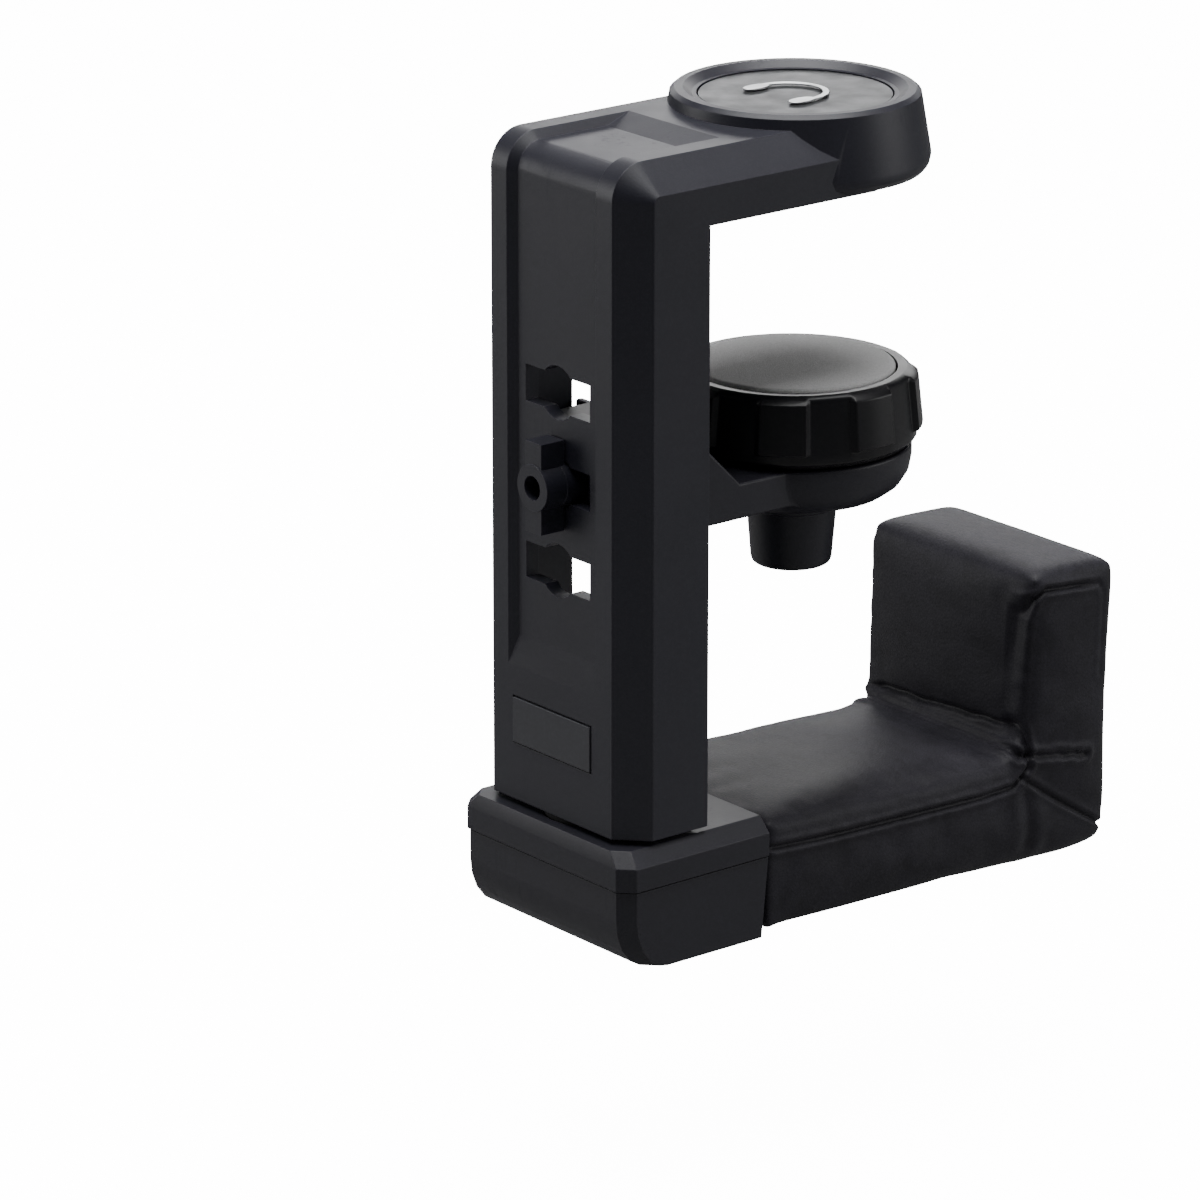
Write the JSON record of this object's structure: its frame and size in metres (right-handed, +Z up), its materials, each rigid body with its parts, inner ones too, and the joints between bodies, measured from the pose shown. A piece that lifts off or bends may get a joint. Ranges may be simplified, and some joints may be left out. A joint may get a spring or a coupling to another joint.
{
  "type": "headphone hook",
  "caption": "Clamp-on headphone hook: screw clamp for a desk edge, with a padded L-shaped arm that swivels under the column.",
  "frame": {"origin": "centre of the upper jaw's flat rubber face, on the clamp axis", "axes": "+Z up along the clamp axis, +X from the column towards the clamp axis, Y across the width"},
  "size_m": [0.1343, 0.0552, 0.1683],
  "materials": {
    "shell": "satin moulded, fine spark texture",
    "dark_shell": "satin moulded",
    "knob_plastic": "semi-gloss moulded",
    "pad_foam": "matt, fine grain",
    "rubber": "matt",
    "leather": "soft satin, fine grain",
    "foam": "open-cell foam",
    "steel": "zinc plated",
    "black_steel": "blackened",
    "brass": "turned",
    "badge_metal": "fine brushed, dark anodised",
    "silver_line": "bright",
    "label_film": "printed film, blank"
  },
  "bodies": {
    "frame": {"c_frame": "shell", "badge_plate": "badge_metal", "badge_symbol": "silver_line", "upper_jaw_pad": "rubber", "back_label": "label_film", "pivot_bolt": "steel", "pivot_nut": "steel", "nut_washer": "steel", "friction_washer": "rubber"},
    "jaw": {"jaw_body": "dark_shell", "bayonet_key": "shell", "key_screw": "black_steel", "screw_sleeve": "dark_shell", "thread_insert": "brass"},
    "pad_carrier": {"pressure_pad": "pad_foam", "pad_disc": "dark_shell", "pad_screw": "steel"},
    "knob": {"knob_body": "knob_plastic", "clamp_screw": "steel"},
    "hanger": {"collar_top": "dark_shell", "collar_bottom": "dark_shell", "collar_screw_1": "black_steel", "collar_screw_2": "black_steel", "collar_screw_3": "black_steel", "collar_screw_4": "black_steel", "pivot_bush": "brass", "arm_core": "black_steel", "foam_seat": "foam", "foam_upright": "foam", "leather_cover": "leather"}
  },
  "joints": [
    {"name": "jaw_turn", "type": "hinge", "parent": "frame", "child": "jaw", "pos_m": [-0.05815, 0, -0.053], "axis": [1, 0, 0], "range_deg": [0, 90]},
    {"name": "pad_rise", "type": "slide", "parent": "jaw", "child": "pad_carrier", "axis": [0, 0, 1], "range_m": [0, 0.0185]},
    {"name": "knob_turn", "type": "hinge", "parent": "pad_carrier", "child": "knob", "pos_m": [0, 0, -0.048], "axis": [0, 0, 1], "range_deg": [0, 2225]},
    {"name": "arm_swivel", "type": "hinge", "parent": "frame", "child": "hanger", "pos_m": [-0.05295, 0, -0.1242], "axis": [0, 0, 1], "continuous": true}
  ],
  "couplings": [
    {"joint": "knob_turn", "follows": "pad_rise", "rad_per_m": 2094.4}
  ]
}
